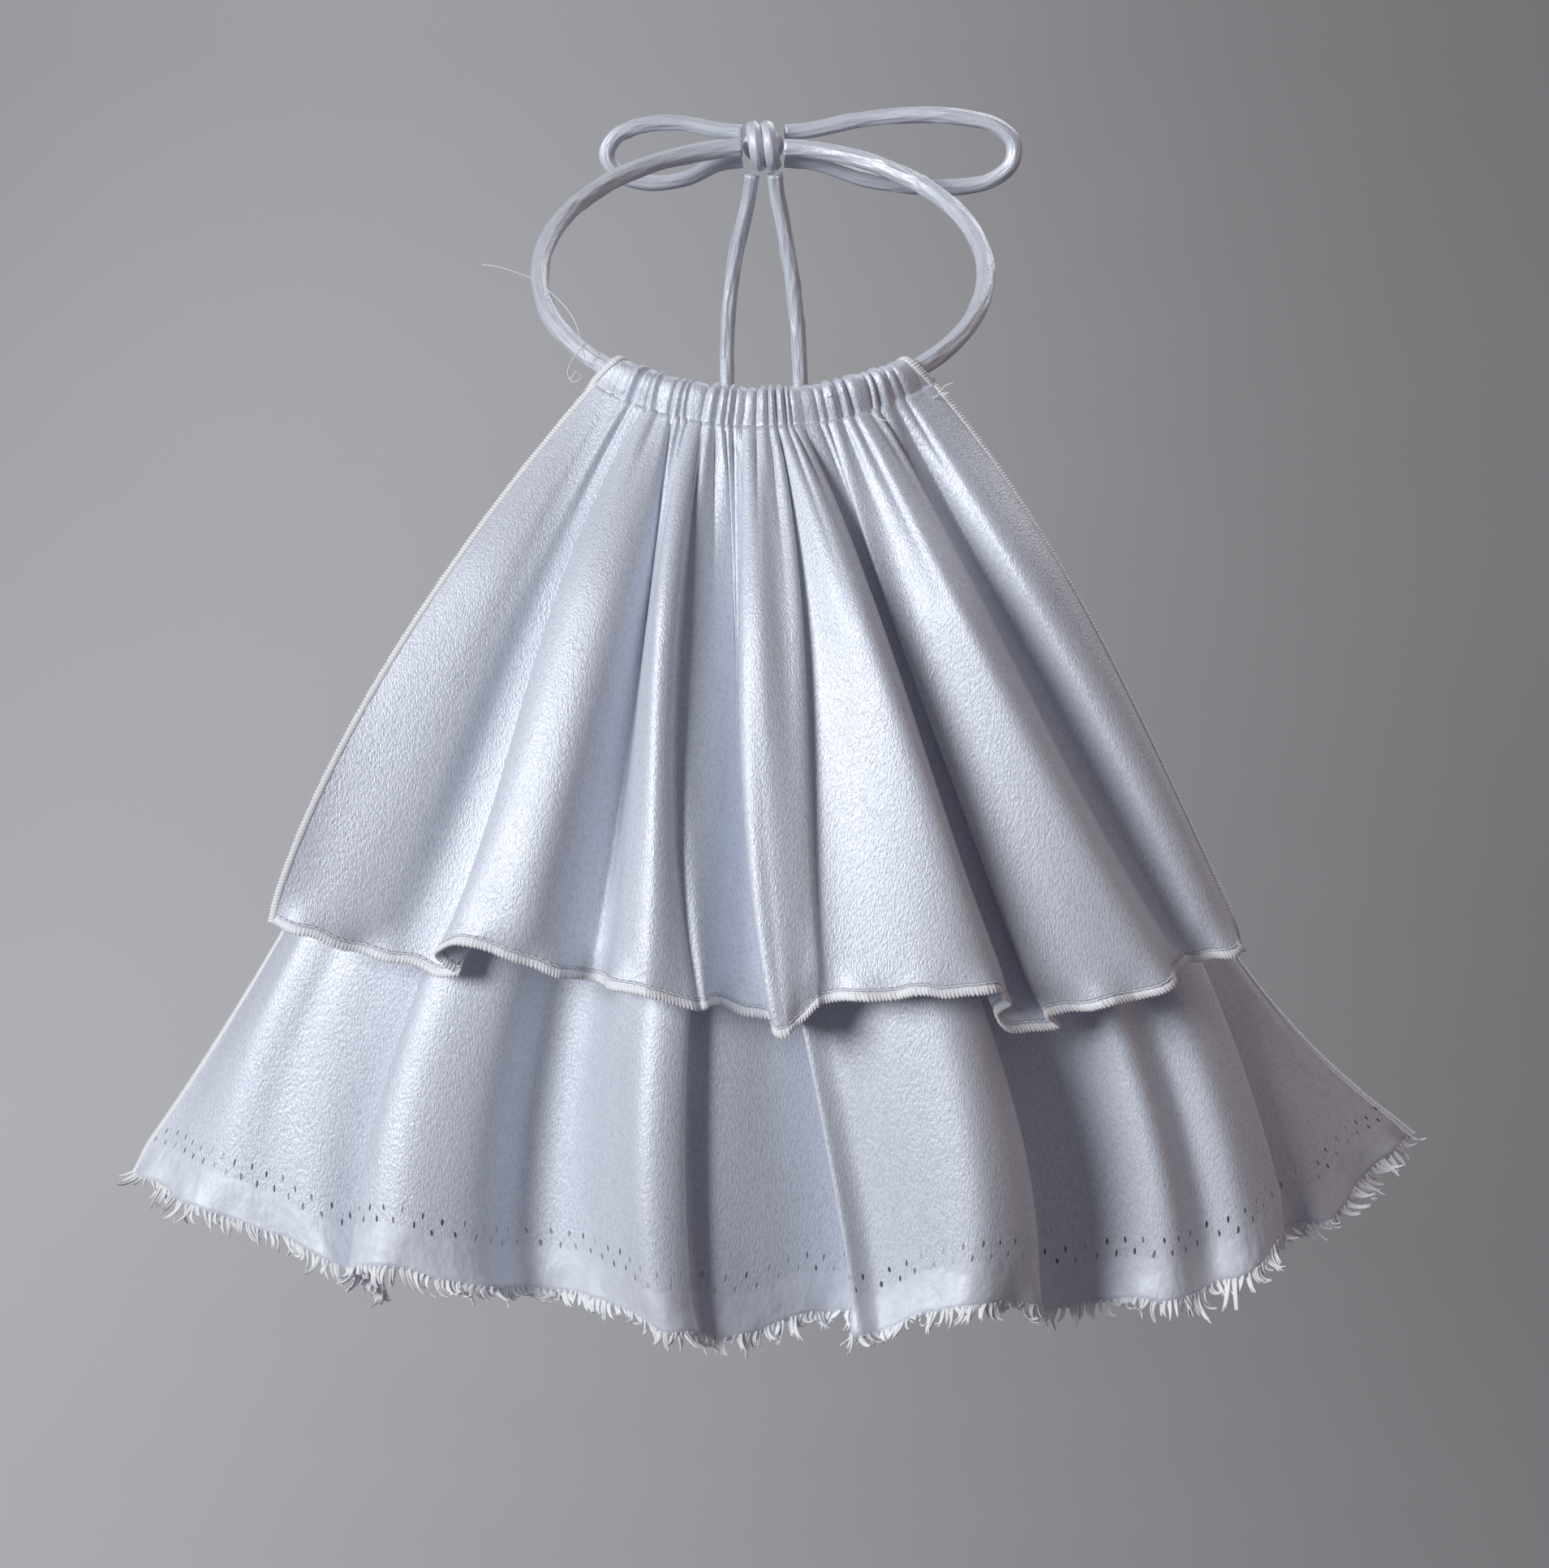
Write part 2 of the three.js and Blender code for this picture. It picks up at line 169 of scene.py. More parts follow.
# The bow's two loops and two ends, each from the knot outwards
LOOP_RIGHT_ROUTE = (
    (6.7, 65, 37), (14, 65.8, 37.6), (32, 67, 41), (50, 66, 42.4), (62.8, 64.5, 41.4), (72, 63.5, 39.2),
    (77.6, 63, 34.4), (77.4, 62.6, 28), (71.4, 62.6, 22.6), (62, 63, 20.4), (48, 64.2, 20.4),
    (32, 65.4, 22.6), (16, 65.4, 27.6), (6.7, 65, 28.6),
)
LOOP_LEFT_ROUTE = (
    (-6.7, 65, 37), (-14, 65.8, 37.6), (-27, 66.8, 39.8), (-38, 66.2, 39), (-46, 65.2, 35.6),
    (-48.8, 64.6, 30), (-45.4, 64.2, 24.4), (-36, 64.4, 21.4), (-24, 65.2, 22.8), (-14, 65.4, 27.4),
    (-6.7, 65, 28.6),
)
END_RIGHT_ROUTE = (
    (3.6, 63.4, 24.4), (4.4, 65.6, 17.4), (6.4, 67.6, 7), (8.6, 68.6, -6), (10.4, 68.4, -20),
    (11.4, 67.8, -35), (11.6, 67.2, -50), (11, 66.8, -62),
)
END_LEFT_ROUTE = (
    (-3.6, 63.4, 24.4), (-4.8, 66, 16.6), (-7.4, 68.2, 5), (-10, 69.2, -9), (-11.4, 69, -25),
    (-11.6, 68.2, -42), (-11, 67.4, -60), (-10.2, 67, -78),
)


# Numbers along a line

def between_knots(place, count):
    """The knots before and after a place, and the eased share of the way between them."""
    knot = np.floor(place).astype(int)
    share = place - knot
    return knot % count, (knot + 1) % count, share * share * (3 - 2 * share)


class Drift:
    """A smooth curve that wanders between -1 and 1, the same one for the same seed."""

    def __init__(self, seed, knots=512):
        draws = random.Random(seed)
        self.values = np.array([draws.uniform(-1, 1) for _ in range(knots)])

    def at(self, place):
        before, after, share = between_knots(np.asarray(place, dtype=float), len(self.values))
        return self.values[before] * (1 - share) + self.values[after] * share


class DriftSheet:
    """The same over a surface."""

    def __init__(self, seed, knots=64):
        draws = random.Random(seed)
        self.values = np.array([[draws.uniform(-1, 1) for _ in range(knots)] for _ in range(knots)])

    def at(self, across, down):
        left, right, aside = between_knots(across, len(self.values))
        above, below, fall = between_knots(down, len(self.values))
        top, low = (
            self.values[row, left] * (1 - aside) + self.values[row, right] * aside for row in (above, below)
        )
        return top * (1 - fall) + low * fall


def ease(value, start, end):
    share = np.clip((value - start) / (end - start), 0, 1)
    return share * share * (3 - 2 * share)


def unit(rows):
    return rows / np.maximum(np.linalg.norm(rows, axis=-1, keepdims=True), 1e-12)


def lengths_along(line):
    steps = np.linalg.norm(np.diff(line, axis=0), axis=1)
    return np.concatenate([[0], np.cumsum(steps)])


def even_steps(step, line, *partners):
    """The line at even steps, and what belongs to each of its points at the same places."""
    along = lengths_along(line)
    count = max(2, round(along[-1] / step) + 1)
    places = np.linspace(0, along[-1], count)
    return [
        np.stack([np.interp(places, along, rows[:, k]) for k in range(rows.shape[1])], axis=1)
        for rows in (line, *partners)
    ]


def smooth_route(points, step):
    """A curve through the points, with no loop between near ones, at even steps."""
    knots = [Vector(p) for p in points]
    knots = [knots[0] * 2 - knots[1], *knots, knots[-1] * 2 - knots[-2]]
    line = []
    for a, b, c, d in zip(knots, knots[1:], knots[2:], knots[3:]):
        first, middle, last = ((q - p).length ** 0.5 for p, q in ((a, b), (b, c), (c, d)))
        leave = ((b - a) / first - (c - a) / (first + middle) + (c - b) / middle) * middle
        reach = ((c - b) / middle - (d - b) / (middle + last) + (d - c) / last) * middle
        for share in np.linspace(0, 1, 12, endpoint=False):
            bend = (2 * b - 2 * c + leave + reach) * share**3 + (3 * c - 3 * b - 2 * leave - reach) * share**2
            line.append(b + leave * share + bend)
    line.append(knots[-2])
    return even_steps(step, np.array(line))[0]


# Meshes shaped from grids

SEAM_WELD = 1e-6
THREAD_SIDES_SHOWN = 1
THREAD_TAPER = 0.6


def finished(name, mesh, material):
    mesh.materials.append(material)
    mesh.shade_smooth()
    piece = bpy.data.objects.new(name, mesh)
    bpy.context.scene.collection.objects.link(piece)
    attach(piece, "root")
    return piece


def shaped_grid(name, places, flat):
    """A grid whose corners go to the places, in millimetres, with the flat ones as its UV map in metres."""
    rows, columns = places.shape[0] - 1, places.shape[1] - 1
    shape = bmesh.new()
    bmesh.ops.create_grid(shape, x_segments=columns, y_segments=rows, size=0.5)
    mesh = bpy.data.meshes.new(name)
    shape.to_mesh(mesh)
    shape.free()
    corners = np.empty(len(mesh.vertices) * 3)
    mesh.vertices.foreach_get("co", corners)
    corners = corners.reshape(-1, 3)
    column = np.rint((corners[:, 0] + 0.5) * columns).astype(int)
    row = np.rint((0.5 - corners[:, 1]) * rows).astype(int)
    mesh.vertices.foreach_set("co", (places[row, column] * MM).ravel())
    corner_of_loop = np.empty(len(mesh.loops), dtype=np.int32)
    mesh.loops.foreach_get("vertex_index", corner_of_loop)
    layer = mesh.uv_layers.new(name="UVMap")
    layer.data.foreach_set("uv", (flat[row, column][corner_of_loop] * MM).ravel())
    mesh.update()
    return mesh


def closed_tube(name, places, flat):
    """A grid rolled up, whose last column lies on its first, with closed ends."""
    mesh = shaped_grid(name, places, flat)
    shape = bmesh.new()
    shape.from_mesh(mesh)
    bmesh.ops.remove_doubles(shape, verts=shape.verts, dist=SEAM_WELD)
    bmesh.ops.holes_fill(shape, edges=[e for e in shape.edges if e.is_boundary])
    bmesh.ops.recalc_face_normals(shape, faces=shape.faces)
    shape.to_mesh(mesh)
    shape.free()
    return mesh


def frames_along(line):
    """At each point of the line its direction, and two across it that turn as little as they can."""
    forward = unit(np.gradient(line, axis=0))
    start = np.array([0, 0, 1.0]) if abs(forward[0][2]) < 0.9 else np.array([0, 1.0, 0])
    side = [unit(np.cross(forward[0], start))]
    for direction in forward[1:]:
        carried = side[-1] - direction * np.dot(side[-1], direction)
        side.append(unit(carried))
    side = np.array(side)
    return forward, side, np.cross(side, forward)


def swept_tube(name, line, radius_at, sides):
    """A round tube along the line. radius_at takes the length along it and the turn round it."""
    forward, side, up = frames_along(line)
    along = lengths_along(line)[:, None]
    turn = np.linspace(0, 2 * math.pi, sides + 1)[None, :]
    radius = radius_at(along, turn)
    radius[:, -1] = radius[:, 0]
    offsets = side[:, None] * (radius * np.cos(turn))[..., None]
    offsets = offsets + up[:, None] * (radius * np.sin(turn))[..., None]
    round_it = np.broadcast_to(turn * radius.mean(), radius.shape)
    flat = np.stack([round_it, np.broadcast_to(along, radius.shape)], axis=2)
    return closed_tube(name, line[:, None] + offsets, flat)


def threads(name, lines, thicknesses, material, taper=True):
    """Thin round threads along the lines, as one mesh."""
    curve = bpy.data.curves.new(name, "CURVE")
    curve.dimensions = "3D"
    curve.bevel_depth = 1.0
    curve.bevel_resolution = THREAD_SIDES_SHOWN
    curve.use_fill_caps = True
    for line, thickness in zip(lines, thicknesses):
        spline = curve.splines.new("POLY")
        spline.points.add(len(line) - 1)
        spline.points.foreach_set("co", np.column_stack([line * MM, np.ones(len(line))]).ravel())
        share = np.linspace(0, 1, len(line))
        thin = 1 - THREAD_TAPER * share**4 if taper else np.ones(len(line))
        spline.points.foreach_set("radius", thickness / 2 * MM * thin)
    holder = bpy.data.objects.new(name + "_lines", curve)
    bpy.context.scene.collection.objects.link(holder)
    bpy.context.view_layer.update()
    made = bpy.data.meshes.new_from_object(holder.evaluated_get(bpy.context.evaluated_depsgraph_get()))
    bpy.data.objects.remove(holder)
    made.name = name
    made.materials.clear()
    return finished(name, made, material)


# The two tiers' surfaces

def read_table(text):
    header, *lines = (line.split() for line in text.strip().split("\n"))
    return {name: np.array([float(line[k]) for line in lines]) for k, name in enumerate(header) if k}


def down_drop(columns, v):
    """The one cubic through four values at the stations down the drop, for every fold line."""
    weights = []
    for i, station in enumerate(STATIONS):
        others = [s for j, s in enumerate(STATIONS) if j != i]
        weights.append(np.prod([(v - s) / (station - s) for s in others], axis=0))
    return np.stack(weights, axis=1) @ np.stack(columns)


def across_rows(values, t):
    """A smooth curve through the fold lines' values, with the lines at whole numbers of t."""
    last = values.shape[1] - 1
    row = np.minimum(np.floor(t).astype(int), last - 1)
    u = t - row
    a, b, c, d = (values[:, np.clip(row + k, 0, last)] for k in (-1, 0, 1, 2))
    return b + 0.5 * u * (c - a + u * (2 * a - 5 * b + 4 * c - d + u * (3 * (b - c) + d - a)))


def ring_y(x):
    return -RING_HALF_DEPTH * np.sqrt(np.maximum(0, 1 - (x / RING_HALF_WIDTH) ** 2))


def seam_z(x):
    return ring_y(x) / RING_HALF_DEPTH * RING_DROP - SEAM_DROP


def drape_y(x, z):
    fallen = np.clip((-RING_DROP - SEAM_DROP - z) / DRAPE_LENGTH, -HEADROOM, 1)
    forward = -RING_HALF_DEPTH - DRAPE_FORWARD * np.sin(math.pi / 2 * fallen)
    share = (fallen + HEADROOM) / (1 + HEADROOM)
    rounding = TOP_ROUNDING + (HEM_ROUNDING - TOP_ROUNDING) * share**ROUNDING_POWER
    return forward + x * x / (2 * rounding)


# The gathers: their width in the middle, how it grows to the ends, and where they fade out
GATHER_WIDTH = 2.8
GATHER_WIDENING = 2.3
GATHER_HALF_SPAN = 48
GATHER_ROUNDNESS = 0.7
GATHER_FADE = 0.7
GATHER_FADE_FROM = 40
GATHER_FADE_TO = 46
GATHER_PLACE = Drift(11)
GATHER_SIZE = Drift(12)
GATHER_REACH = Drift(13)


def gather_wave(x):
    """The gathers at a place along the seam, from -1 in a narrow groove to 1 on a round ridge.
    They are narrow in the middle and wider towards the casing's ends."""
    bend = math.sqrt(GATHER_WIDENING / GATHER_WIDTH)
    count = GATHER_HALF_SPAN / (GATHER_WIDTH * bend) * np.arctan(x / GATHER_HALF_SPAN * bend)
    count = count + 0.55 * GATHER_PLACE.at(x / 5) + 0.2 * GATHER_PLACE.at(x / 2.3 + 40)
    ridge = 2 * np.abs(np.cos(math.pi * count)) ** GATHER_ROUNDNESS - 1
    fade = 1 - GATHER_FADE * ease(np.abs(x), GATHER_FADE_FROM, GATHER_FADE_TO)
    return ridge * (0.55 + 0.45 * GATHER_SIZE.at(x / 3.1)) * fade


# The cloth near its hem waves out and in, and a little up and down
HEM_WAVE_REACH = 16
HEM_WAVE_RISE = 0.45
HEM_RISE_SHARE = 0.8
# Soft creases over the whole cloth: their width, length and depth
FINE_CREASES = (9, 60, 0.22)
BROAD_CREASES = (22, 90, 0.4)


class Tier:
    """A tier's cloth as a grid of points, rows down by columns across, and the way out of it at each."""

    def __init__(self, table, seam_stand, stand, seed, gather_height, gather_reach, flutter, flutter_wave):
        fold = read_table(table)
        self.last = len(fold["x_seam"]) - 1
        self.t = np.linspace(0, self.last, self.last * COLUMNS_PER_FOLD_LINE + 1)
        self.v = np.linspace(0, 1, ROWS_DOWN + 1)
        v = self.v[:, None]
        places = [fold[name] for name in ("x_seam", "x_high", "x_low", "x_hem")]
        x = across_rows(down_drop(places, self.v), self.t)
        z = across_rows(seam_z(fold["x_seam"]) * (1 - v) + fold["z_hem"] * v, self.t)
        outs = [0 * fold["out_hem"], fold["out_high"], fold["out_low"], fold["out_hem"]]
        out = across_rows(down_drop(outs, self.v), self.t)
        rise = ease(v, 0, STAND_REACHED_AT)
        stands = seam_stand * (1 - rise) + stand * rise
        self.points = np.stack([x, drape_y(x, z) - stands - out, z], axis=2)
        self.measure()
        near_hem = (1 - ease(self.above_hem, 0, HEM_WAVE_REACH)) ** 2
        waves = flutter * DriftSheet(seed + 2).at(self.hem_run / flutter_wave, self.above_hem / 40) * near_hem
        height = self.gathers(gather_height, gather_reach) + self.creases(seed) + waves
        self.points = self.points + self.outward * height[..., None]
        rise_run = self.hem_run / (HEM_RISE_SHARE * flutter_wave)
        rises = DriftSheet(seed + 3).at(rise_run, self.above_hem / 60)
        self.points[..., 2] += HEM_WAVE_RISE * flutter * rises * near_hem
        self.measure()

    def measure(self):
        down = np.gradient(self.points, axis=0)
        across = np.gradient(self.points, axis=1)
        self.outward = unit(np.cross(down, across))
        self.hem_run = lengths_along(self.points[-1])
        steps = np.linalg.norm(np.diff(self.points, axis=0), axis=2)
        above = np.cumsum(steps[::-1], axis=0)[::-1]
        self.above_hem = np.concatenate([above, np.zeros((1, above.shape[1]))])

    def gathers(self, height, reach):
        """How far the gathers stand off the folds. They run out below the seam, some sooner than others."""
        seam_x = self.points[0, :, 0]
        below_seam = self.above_hem[0] - self.above_hem
        spread = 1 + 0.7 * GATHER_REACH.at(seam_x / 3.4) + 0.5 * np.abs(seam_x) / GATHER_HALF_SPAN
        fall = np.exp(-((below_seam / (reach * spread)) ** 1.5))
        return height * gather_wave(seam_x) * fall * (1 + 0.8 * ease(below_seam, 1, 9))

    def creases(self, seed):
        """How far soft creases stand off the folds."""
        below_seam = self.above_hem[0] - self.above_hem
        height = 0
        for extra, (width, length, depth) in enumerate((FINE_CREASES, BROAD_CREASES)):
            height = height + DriftSheet(seed + extra).at(self.hem_run / width, below_seam / length) * depth
        return height * ease(below_seam, 6, 40)

    def flat(self):
        """The way along the hem and the height above it, as the cloth's own map."""
        return np.stack([np.broadcast_to(self.hem_run, self.above_hem.shape), self.above_hem], axis=2)

    def edge(self, side):
        """An edge as its line, the way into the cloth, and the way out of it."""
        if side == "hem":
            return self.points[-1], unit(self.points[-2] - self.points[-1]), self.outward[-1]
        column, inner = (0, 2) if side == "left" else (-1, -3)
        line = self.points[:, column]
        return line, unit(self.points[:, inner] - line), self.outward[:, column]


# Materials

def new_material(name, colour, roughness, specular, sheen, sheen_roughness, metallic=0.0):
    material = bpy.data.materials.new(name)
    material.use_nodes = True
    surface = material.node_tree.nodes["Principled BSDF"]
    surface.inputs["Base Color"].default_value = (*colour, 1)
    names = ("Metallic", "Roughness", "Specular IOR Level", "Sheen Weight", "Sheen Roughness")
    for name, value in zip(names, (metallic, roughness, specular, sheen, sheen_roughness)):
        surface.inputs[name].default_value = value
    return material, surface


class Nodes:
    """Short ways to add and join a material's nodes."""

    def __init__(self, material):
        self.tree = material.node_tree

    def add(self, kind, inputs=None, **settings):
        node = self.tree.nodes.new("ShaderNode" + kind)
        for name, value in settings.items():
            setattr(node, name, value)
        for name, value in (inputs or {}).items():
            self.put(node.inputs[name], value)
        return node

    def put(self, socket, value):
        if isinstance(value, bpy.types.NodeSocket):
            self.tree.links.new(value, socket)
        else:
            socket.default_value = value

    def math(self, operation, *values):
        return self.add("Math", dict(enumerate(values)), operation=operation).outputs[0]

    def place(self, space, scale):
        """The place on the piece, in metres times the scale."""
        where = self.add("TexCoord").outputs[space]
        return self.add("Mapping", {"Vector": where, "Scale": scale}).outputs["Vector"]

    def noise(self, where, scale, detail=2.0, roughness=0.5):
        inputs = {"Vector": where, "Scale": scale, "Detail": detail, "Roughness": roughness}
        return self.add("TexNoise", inputs).outputs["Fac"]

    def ramp(self, value, low, high):
        """0 below the low value and 1 above the high one, eased."""
        inputs = {"Value": value, "From Min": low, "From Max": high}
        return self.add("MapRange", inputs, interpolation_type="SMOOTHSTEP").outputs["Result"]

    def blend(self, share, a, b):
        return self.add("Mix", {0: share, 6: a, 7: b}, data_type="RGBA").outputs[2]

    def bump(self, height, strength, distance, under=None):
        inputs = {"Height": height, "Strength": strength, "Distance": distance}
        if under is not None:
            inputs["Normal"] = under
        return self.add("Bump", inputs).outputs["Normal"]

    def finish(self, surface, colour, normal, roughness=None):
        self.put(surface.inputs["Base Color"], colour)
        self.put(surface.inputs["Normal"], normal)
        if roughness is not None:
            self.put(surface.inputs["Roughness"], roughness)


# Colours. The groove, crease and pucker colours are painted shade in the cloth's low places, and the paper's
# two colours paint light and shade across the backdrop.
WHITE = (0.78, 0.81, 0.88)
PAINTED_GROOVE_SHADE = (0.65, 0.68, 0.77)
PAINTED_CREASE_SHADE = (0.64, 0.66, 0.74)
PAINTED_PUCKER_SHADE = (0.72, 0.74, 0.82)
HOLE_SHADE = (0.1, 0.1, 0.12)
OVERLOCK_WHITE = (0.98, 0.98, 0.99)
YARN_WHITE = (0.96, 0.96, 0.97)
PAPER_PAINTED_LIGHT = (0.72, 0.73, 0.74)
PAPER_PAINTED_SHADE = (0.22, 0.21, 0.21)

# The crepe's relief: the bump's strength, and its depth in metres
CREPE_BUMP = 0.75
CREPE_DEPTH = 0.00042

# The needle holes and the selvedge, and the needle's stitches above the front hem, in millimetres
HOLE_PITCH = 6.1
HOLE_ROWS = ((14.2, 0.0), (17.9, 0.5))
HOLE_HALF_WIDTH = 0.36
HOLE_HALF_HEIGHT = 0.95
SELVEDGE_HEIGHT = 12.5
SELVEDGE_BLEND = 1.2
HEM_CREASE_HEIGHT = 2.6
HEM_STITCH = 2.2


def new_satin(name):
    """A pearly satin. The metallic share gives its broad highlights their depth."""
    material, surface = new_material(name, WHITE, 0.48, 0.6, 0.35, 0.4, metallic=0.2)
    return material, surface, Nodes(material)


def crepe(nodes):
    """The crepe's height, colour and roughness: short upright strokes, about 1 mm long, on coarser ones. The
    colour is painted shade, darker where the grain is low.
    """
    strokes = nodes.noise(nodes.place("Object", (1, 1, 0.34)), 2400, detail=2.0)
    pebbles = nodes.noise(nodes.place("Object", (1, 1, 0.6)), 1100, detail=1.0)
    slubs = nodes.noise(nodes.place("Object", (1, 1, 0.25)), 90)
    grain = nodes.math("MULTIPLY_ADD", strokes, 0.7, nodes.math("MULTIPLY", pebbles, 0.3))
    # Painted shade: the grain's low places are coloured darker.
    colour = nodes.blend(nodes.ramp(grain, 0.36, 0.56), (*PAINTED_GROOVE_SHADE, 1), (*WHITE, 1))
    roughness = nodes.math("MULTIPLY_ADD", slubs, 0.16, 0.38)
    return grain, colour, roughness


def cloth_places(nodes):
    """The way along the hem and the height above it, in millimetres of the cloth."""
    where = nodes.add("SeparateXYZ", {0: nodes.place("UV", (1000, 1000, 1))})
    return where.outputs[0], where.outputs[1]


def crepe_satin():
    material, surface, nodes = new_satin("crepe_satin")
    grain, colour, roughness = crepe(nodes)
    nodes.finish(surface, colour, nodes.bump(grain, CREPE_BUMP, CREPE_DEPTH), roughness)
    return material


def hemmed_satin():
    """The front tier's cloth, drawn in to a crease along the needle's stitches above its overlocked hem, with
    painted shade in the crease.
    """
    material, surface, nodes = new_satin("crepe_satin_hemmed")
    grain, colour, roughness = crepe(nodes)
    run, height = cloth_places(nodes)
    stitch = nodes.math("ABSOLUTE", nodes.math("SINE", nodes.math("MULTIPLY", run, math.pi / HEM_STITCH)))
    off_crease = nodes.math("ABSOLUTE", nodes.math("SUBTRACT", height, HEM_CREASE_HEIGHT))
    crease = nodes.math("SUBTRACT", 1.0, nodes.ramp(off_crease, 0.1, 0.55))
    crease = nodes.math("MULTIPLY", crease, nodes.math("MULTIPLY_ADD", stitch, 0.5, 0.5))
    # Painted shade: the colour darkens in the crease along the needle's stitches, and the same crease is
    # pressed in as a bump below.
    colour = nodes.blend(crease, colour, (*PAINTED_CREASE_SHADE, 1))
    rough = nodes.bump(grain, CREPE_BUMP, CREPE_DEPTH)
    pressed = nodes.bump(nodes.math("SUBTRACT", 1.0, crease), 0.7, 0.0006, rough)
    nodes.finish(surface, colour, pressed, roughness)
    return material


def needle_holes(nodes, run, height):
    """1 in the two staggered rows of upright needle holes above the selvedge. Some of them have closed up."""
    holes = 0.0
    for level, shift in HOLE_ROWS:
        turn = nodes.math("MULTIPLY_ADD", run, 1 / HOLE_PITCH, shift)
        across = nodes.math("SUBTRACT", nodes.math("FRACT", turn), 0.5)
        across = nodes.math("MULTIPLY", across, HOLE_PITCH / HOLE_HALF_WIDTH)
        up = nodes.math("DIVIDE", nodes.math("SUBTRACT", height, level), HOLE_HALF_HEIGHT)
        square = nodes.math("MULTIPLY_ADD", across, across, nodes.math("MULTIPLY", up, up))
        holes = nodes.math("MAXIMUM", nodes.math("SUBTRACT", 1.0, nodes.ramp(square, 0.5, 1.3)), holes)
    open_share = nodes.ramp(nodes.noise(nodes.place("UV", (1, 0.6, 1)), 55, detail=1.0), 0.36, 0.56)
    return nodes.math("MULTIPLY", holes, nodes.math("MULTIPLY_ADD", open_share, 0.8, 0.2))


def selvedged_satin():
    """The back tier's cloth: crepe down to two rows of needle holes, and a smooth selvedge below them.
    Painted shade darkens the selvedge's pucker dimples and fills the needle holes.
    """
    material, surface, nodes = new_satin("crepe_satin_selvedged")
    grain, colour, roughness = crepe(nodes)
    run, height = cloth_places(nodes)
    waver = nodes.math("SUBTRACT", nodes.noise(nodes.place("UV", (1, 1, 1)), 70), 0.5)
    height = nodes.math("MULTIPLY_ADD", waver, 3.5, height)
    run = nodes.math("MULTIPLY_ADD", waver, 5.0, run)
    ragged = nodes.math("SUBTRACT", nodes.noise(nodes.place("UV", (1, 1, 1)), 380, detail=2.0), 0.5)
    ragged_height = nodes.math("MULTIPLY_ADD", ragged, 4.0, height)
    crepe_share = nodes.ramp(ragged_height, SELVEDGE_HEIGHT, SELVEDGE_HEIGHT + SELVEDGE_BLEND)
    holes = needle_holes(nodes, run, height)
    pucker = nodes.noise(nodes.place("UV", (1, 0.7, 1)), 230, detail=2.0)
    # Painted shade: the pucker dimples are coloured darker.
    smooth = nodes.blend(nodes.ramp(pucker, 0.25, 0.6), (*PAINTED_PUCKER_SHADE, 1), (*WHITE, 1))
    colour = nodes.blend(holes, nodes.blend(crepe_share, smooth, colour), (*HOLE_SHADE, 1))
    roughness = nodes.math("ADD", roughness, nodes.math("MULTIPLY_ADD", crepe_share, -0.1, 0.1))
    fine = nodes.bump(grain, nodes.math("MULTIPLY_ADD", crepe_share, 0.67, 0.08), CREPE_DEPTH)
    soft = nodes.bump(pucker, nodes.math("MULTIPLY_ADD", crepe_share, -0.4, 0.45), 0.0012, fine)
    pits = nodes.bump(nodes.math("SUBTRACT", 1.0, holes), 0.8, 0.0007, soft)
    nodes.finish(surface, colour, pits, roughness)
    return material


def tie_satin():
    """The tie's smooth satin, with fine creases along it, painted darker in their grooves as shade."""
    material, surface, nodes = new_satin("tie_satin")
    creases = nodes.noise(nodes.place("UV", (1, 0.12, 1)), 900, detail=2.5)
    weave = nodes.noise(nodes.place("UV", (1, 0.5, 1)), 2600, detail=1.0)
    # Painted shade: the creases' low places are coloured darker.
    colour = nodes.blend(nodes.ramp(creases, 0.15, 0.45), (*PAINTED_GROOVE_SHADE, 1), (*WHITE, 1))
    roughness = nodes.math("MULTIPLY_ADD", creases, 0.2, 0.34)
    nodes.finish(surface, colour, nodes.bump(creases, 0.6, 0.0008, nodes.bump(weave, 0.3, 0.0003)), roughness)
    return material


def thread_finish(name, colour, roughness, scale):
    material, surface = new_material(name, colour, roughness, 0.45, 0.9, 0.5)
    nodes = Nodes(material)
    fibre = nodes.noise(nodes.place("Object", (1, 1, 1)), scale, detail=2.0)
    darker = tuple(0.92 * c for c in colour)
    nodes.finish(surface, nodes.blend(fibre, (*darker, 1), (*colour, 1)), nodes.bump(fibre, 0.4, 0.0002))
    return material


def backdrop_paper_painted_shade():
    material, surface = new_material("backdrop_painted_shade", PAPER_PAINTED_LIGHT, 0.9, 0.2, 0, 0.5)
    nodes = Nodes(material)
    where = nodes.add("SeparateXYZ", {0: nodes.place("Object", (1, 1, 1))})
    speckle = nodes.noise(nodes.place("Object", (1, 1, 1)), 9, detail=3.0)
    # Painted light and shade: the paper is coloured lighter towards -X and darker towards +X, with a faint
    # speckle.
    share = nodes.ramp(nodes.math("MULTIPLY_ADD", speckle, 0.05, where.outputs[0]), -0.8, 0.9)
    nodes.put(surface.inputs["Base Color"], nodes.blend(share, (*PAPER_PAINTED_LIGHT, 1), (*PAPER_PAINTED_SHADE, 1)))
    return material


# The camera, lights and backdrop

def make_camera():
    data = bpy.data.cameras.new("camera")
    data.sensor_width = SENSOR
    data.lens = CAMERA_FOCAL_PIXELS * SENSOR / FRAME_HEIGHT_PIXELS
    camera = bpy.data.objects.new("camera", data)
    back = Vector((0, -math.cos(CAMERA_ELEVATION), math.sin(CAMERA_ELEVATION)))
    camera.location = CAMERA_TARGET + back * CAMERA_DISTANCE
    camera.rotation_mode = "QUATERNION"
    camera.rotation_quaternion = (-back).to_track_quat("-Z", "Y")
    bpy.context.scene.collection.objects.link(camera)
    bpy.context.scene.camera = camera


